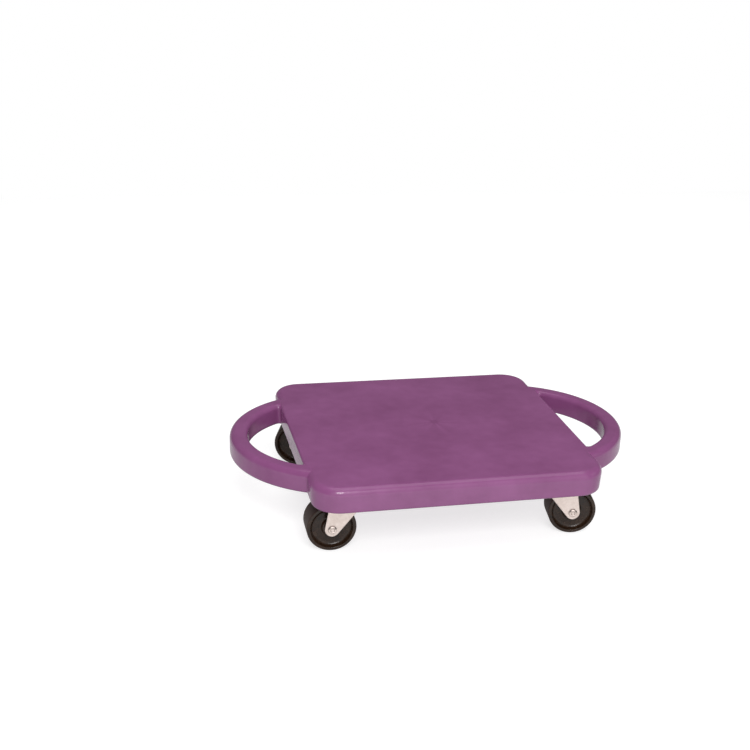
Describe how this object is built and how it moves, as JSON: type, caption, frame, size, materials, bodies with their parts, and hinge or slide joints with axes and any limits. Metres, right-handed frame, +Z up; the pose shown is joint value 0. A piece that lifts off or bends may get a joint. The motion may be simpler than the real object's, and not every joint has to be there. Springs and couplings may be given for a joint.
{
  "type": "scooter board",
  "caption": "Low square scooter board: a ribbed plastic deck with a loop handle at either side, rolling on plate-mounted swivel casters with hard rubber wheels.",
  "frame": {"origin": "on the floor under the middle of the deck", "axes": "+X runs from the left handle to the right handle, +Y to the rear, +Z up through the deck"},
  "size_m": [0.435, 0.3048, 0.0825],
  "materials": {
    "deck_plastic": "satin purple polypropylene, moulded",
    "zinc_steel": "bright zinc plating on pressed steel",
    "bearing_steel": "polished",
    "wheel_rubber": "hard, smooth, dark brown-black"
  },
  "bodies": {
    "board": {"deck": "deck_plastic", "front_left_top_plate": "zinc_steel", "front_left_thrust_washer": "zinc_steel", "front_left_kingpin": "zinc_steel", "front_left_screw_1": "zinc_steel", "front_left_screw_2": "zinc_steel", "front_left_screw_3": "zinc_steel", "front_left_screw_4": "zinc_steel", "front_right_top_plate": "zinc_steel", "front_right_thrust_washer": "zinc_steel", "front_right_kingpin": "zinc_steel", "front_right_screw_1": "zinc_steel", "front_right_screw_2": "zinc_steel", "front_right_screw_3": "zinc_steel", "front_right_screw_4": "zinc_steel", "rear_left_top_plate": "zinc_steel", "rear_left_thrust_washer": "zinc_steel", "rear_left_kingpin": "zinc_steel", "rear_left_screw_1": "zinc_steel", "rear_left_screw_2": "zinc_steel", "rear_left_screw_3": "zinc_steel", "rear_left_screw_4": "zinc_steel", "rear_right_top_plate": "zinc_steel", "rear_right_thrust_washer": "zinc_steel", "rear_right_kingpin": "zinc_steel", "rear_right_screw_1": "zinc_steel", "rear_right_screw_2": "zinc_steel", "rear_right_screw_3": "zinc_steel", "rear_right_screw_4": "zinc_steel"},
    "front_left_bearing": {"front_left_ball_ring": "bearing_steel"},
    "front_left_caster": {"front_left_fork": "zinc_steel", "front_left_axle_sleeve": "zinc_steel", "front_left_axle_rivet": "zinc_steel"},
    "front_left_roller": {"front_left_wheel": "wheel_rubber"},
    "front_right_bearing": {"front_right_ball_ring": "bearing_steel"},
    "front_right_caster": {"front_right_fork": "zinc_steel", "front_right_axle_sleeve": "zinc_steel", "front_right_axle_rivet": "zinc_steel"},
    "front_right_roller": {"front_right_wheel": "wheel_rubber"},
    "rear_left_bearing": {"rear_left_ball_ring": "bearing_steel"},
    "rear_left_caster": {"rear_left_fork": "zinc_steel", "rear_left_axle_sleeve": "zinc_steel", "rear_left_axle_rivet": "zinc_steel"},
    "rear_left_roller": {"rear_left_wheel": "wheel_rubber"},
    "rear_right_bearing": {"rear_right_ball_ring": "bearing_steel"},
    "rear_right_caster": {"rear_right_fork": "zinc_steel", "rear_right_axle_sleeve": "zinc_steel", "rear_right_axle_rivet": "zinc_steel"},
    "rear_right_roller": {"rear_right_wheel": "wheel_rubber"}
  },
  "joints": [
    {"name": "front_left_swivel", "type": "hinge", "parent": "board", "child": "front_left_caster", "pos_m": [-0.11, -0.106, 0.0635], "axis": [0, 0, 1], "continuous": true},
    {"name": "front_left_spin", "type": "hinge", "parent": "front_left_caster", "child": "front_left_roller", "pos_m": [-0.12899, -0.10554, 0.0254], "axis": [-0.0244, -0.9997, 0], "continuous": true},
    {"name": "front_left_ball_travel", "type": "hinge", "parent": "board", "child": "front_left_bearing", "pos_m": [-0.11, -0.106, 0.0635], "axis": [0, 0, 1], "continuous": true},
    {"name": "front_right_swivel", "type": "hinge", "parent": "board", "child": "front_right_caster", "pos_m": [0.11, -0.106, 0.0635], "axis": [0, 0, 1], "continuous": true},
    {"name": "front_right_spin", "type": "hinge", "parent": "front_right_caster", "child": "front_right_roller", "pos_m": [0.12876, -0.10904, 0.0254], "axis": [0.1599, 0.9871, 0], "continuous": true},
    {"name": "front_right_ball_travel", "type": "hinge", "parent": "board", "child": "front_right_bearing", "pos_m": [0.11, -0.106, 0.0635], "axis": [0, 0, 1], "continuous": true},
    {"name": "rear_left_swivel", "type": "hinge", "parent": "board", "child": "rear_left_caster", "pos_m": [-0.11, 0.106, 0.0635], "axis": [0, 0, 1], "continuous": true},
    {"name": "rear_left_spin", "type": "hinge", "parent": "rear_left_caster", "child": "rear_left_roller", "pos_m": [-0.1281, 0.11178, 0.0254], "axis": [-0.304, -0.9527, 0], "continuous": true},
    {"name": "rear_left_ball_travel", "type": "hinge", "parent": "board", "child": "rear_left_bearing", "pos_m": [-0.11, 0.106, 0.0635], "axis": [0, 0, 1], "continuous": true},
    {"name": "rear_right_swivel", "type": "hinge", "parent": "board", "child": "rear_right_caster", "pos_m": [0.11, 0.106, 0.0635], "axis": [0, 0, 1], "continuous": true},
    {"name": "rear_right_spin", "type": "hinge", "parent": "rear_right_caster", "child": "rear_right_roller", "pos_m": [0.12556, 0.1169, 0.0254], "axis": [-0.5736, 0.8192, 0], "continuous": true},
    {"name": "rear_right_ball_travel", "type": "hinge", "parent": "board", "child": "rear_right_bearing", "pos_m": [0.11, 0.106, 0.0635], "axis": [0, 0, 1], "continuous": true}
  ],
  "couplings": [
    {"joint": "front_left_ball_travel", "follows": "front_left_swivel", "ratio": 0.5},
    {"joint": "front_right_ball_travel", "follows": "front_right_swivel", "ratio": 0.5},
    {"joint": "rear_left_ball_travel", "follows": "rear_left_swivel", "ratio": 0.5},
    {"joint": "rear_right_ball_travel", "follows": "rear_right_swivel", "ratio": 0.5}
  ]
}
